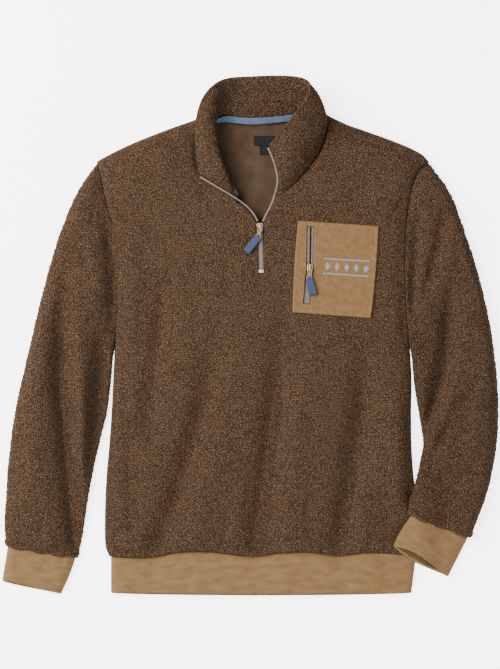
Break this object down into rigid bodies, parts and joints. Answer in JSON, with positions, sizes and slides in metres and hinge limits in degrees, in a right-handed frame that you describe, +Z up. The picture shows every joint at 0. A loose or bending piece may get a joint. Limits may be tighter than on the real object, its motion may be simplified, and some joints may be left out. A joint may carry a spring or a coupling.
{
  "type": "fleece pullover",
  "caption": "Quarter-zip sherpa fleece pullover laid flat, with a stand collar, a zipped patch pocket, and a knitted hem band and cuffs.",
  "frame": {"origin": "on the surface that the pullover lies on, below the middle of its bounding box", "axes": "+X to the right across the front as it is seen, +Y from the hem to the collar, +Z up out of the front"},
  "size_m": [0.7438, 0.777, 0.0527],
  "materials": {
    "fleece": "curled brown pile",
    "knit": "tan fine knit",
    "pocket_cloth": "tan woven cloth",
    "neck_tape": "blue woven tape",
    "label": "black woven label, bare",
    "zip_tape": "grey zip tape with moulded teeth",
    "zip_stop": "satin",
    "zip_metal": "pale polished",
    "pull_tab": "blue matt"
  },
  "bodies": {
    "garment": {"back_panel": "fleece", "front_panel": "fleece", "sleeve_left": "fleece", "sleeve_right": "fleece", "collar": "fleece", "hem_band": "knit", "cuff_left": "knit", "cuff_right": "knit", "neck_tape": "neck_tape", "neck_label": "label", "size_tab": "label", "chest_pocket": "pocket_cloth", "zip_edge_left": "zip_tape", "zip_edge_right": "zip_tape", "zip_chain": "zip_tape", "zip_stop": "zip_stop", "zip_slider": "zip_metal", "pocket_zip_left": "zip_tape", "pocket_zip_right": "zip_tape", "pocket_zip_chain": "zip_tape", "pocket_slider": "zip_metal"},
    "zip_pull": {"zip_pull": "zip_metal"},
    "zip_tab": {"zip_tab": "pull_tab"},
    "pocket_pull": {"pocket_pull": "zip_metal"},
    "pocket_tab": {"pocket_tab": "pull_tab"}
  },
  "joints": [
    {"name": "zip_pull_hinge", "type": "hinge", "parent": "garment", "child": "zip_pull", "pos_m": [0.0153, 0.165, 0.02277], "axis": [-0.9763, 0.2164, 0], "range_deg": [0, 135]},
    {"name": "zip_tab_swivel", "type": "hinge", "parent": "zip_pull", "child": "zip_tab", "pos_m": [0.01205, 0.15036, 0.02277], "axis": [0, 0, 1], "range_deg": [-20, 65]},
    {"name": "pocket_pull_hinge", "type": "hinge", "parent": "garment", "child": "pocket_pull", "pos_m": [0.0897, 0.1034, 0.0252], "axis": [-0.9968, 0.0802, 0], "range_deg": [0, 135]},
    {"name": "pocket_tab_swivel", "type": "hinge", "parent": "pocket_pull", "child": "pocket_tab", "pos_m": [0.0885, 0.08845, 0.0252], "axis": [0, 0, 1], "range_deg": [-55, 25]}
  ]
}
